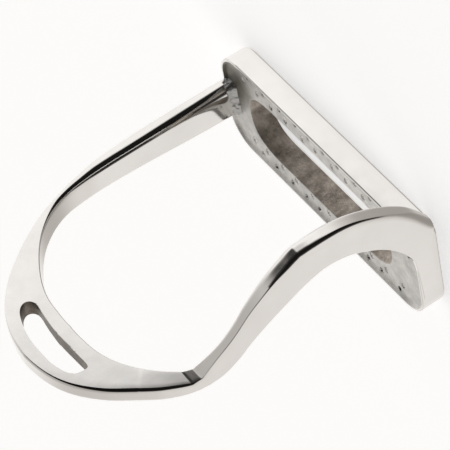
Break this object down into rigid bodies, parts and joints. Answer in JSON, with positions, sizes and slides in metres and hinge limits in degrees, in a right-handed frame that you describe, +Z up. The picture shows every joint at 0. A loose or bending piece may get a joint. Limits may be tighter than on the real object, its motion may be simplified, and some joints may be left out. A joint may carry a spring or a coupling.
{
  "type": "stirrup iron",
  "caption": "Bent-leg safety stirrup iron: arched bow with a D-shaped leather eye, a straight branch, a branch bulging forward, and an open oblong tread with a shallow rim.",
  "frame": {"origin": "middle of the tread's underside", "axes": "+Z up to the leather eye, +X along the tread towards the straight inner branch, -Y forward, the way the bent outer branch bulges"},
  "size_m": [0.134, 0.0848, 0.152],
  "materials": {
    "bow_steel": "polished stainless steel",
    "tread_steel": "polished rim, matt as-cast ledge and window",
    "weld_steel": "rough weld bead"
  },
  "bodies": {
    "root": {"crown_eye": "bow_steel", "inner_branch": "bow_steel", "outer_branch": "bow_steel", "tread_plate": "tread_steel", "inner_foot_weld": "weld_steel", "outer_foot_weld": "weld_steel"}
  },
  "joints": []
}
